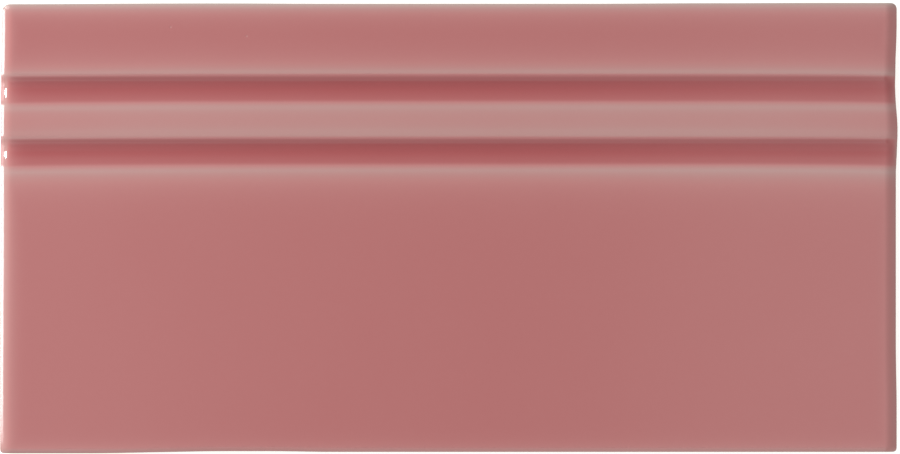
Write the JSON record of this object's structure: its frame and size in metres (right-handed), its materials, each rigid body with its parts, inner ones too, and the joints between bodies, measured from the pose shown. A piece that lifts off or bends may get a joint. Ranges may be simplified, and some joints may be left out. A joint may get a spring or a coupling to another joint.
{
  "type": "ceramic skirting tile",
  "caption": "Glossy dusty-pink glazed ceramic skirting tile with a grooved moulding along its upper edge, rounded face edges and a keyed back, for the foot of a tiled wall.",
  "frame": {"origin": "centre of the back, on the plane the tile lies on", "axes": "+X along the skirting, +Y up the wall towards the moulded edge, +Z out of the wall, through the glazed face"},
  "size_m": [0.2, 0.1, 0.01],
  "materials": {
    "glaze": "glossy translucent glaze, thinner on the arrises and pooled in the grooves"
  },
  "bodies": {
    "root": {"skirting_tile": "glaze"}
  },
  "joints": []
}
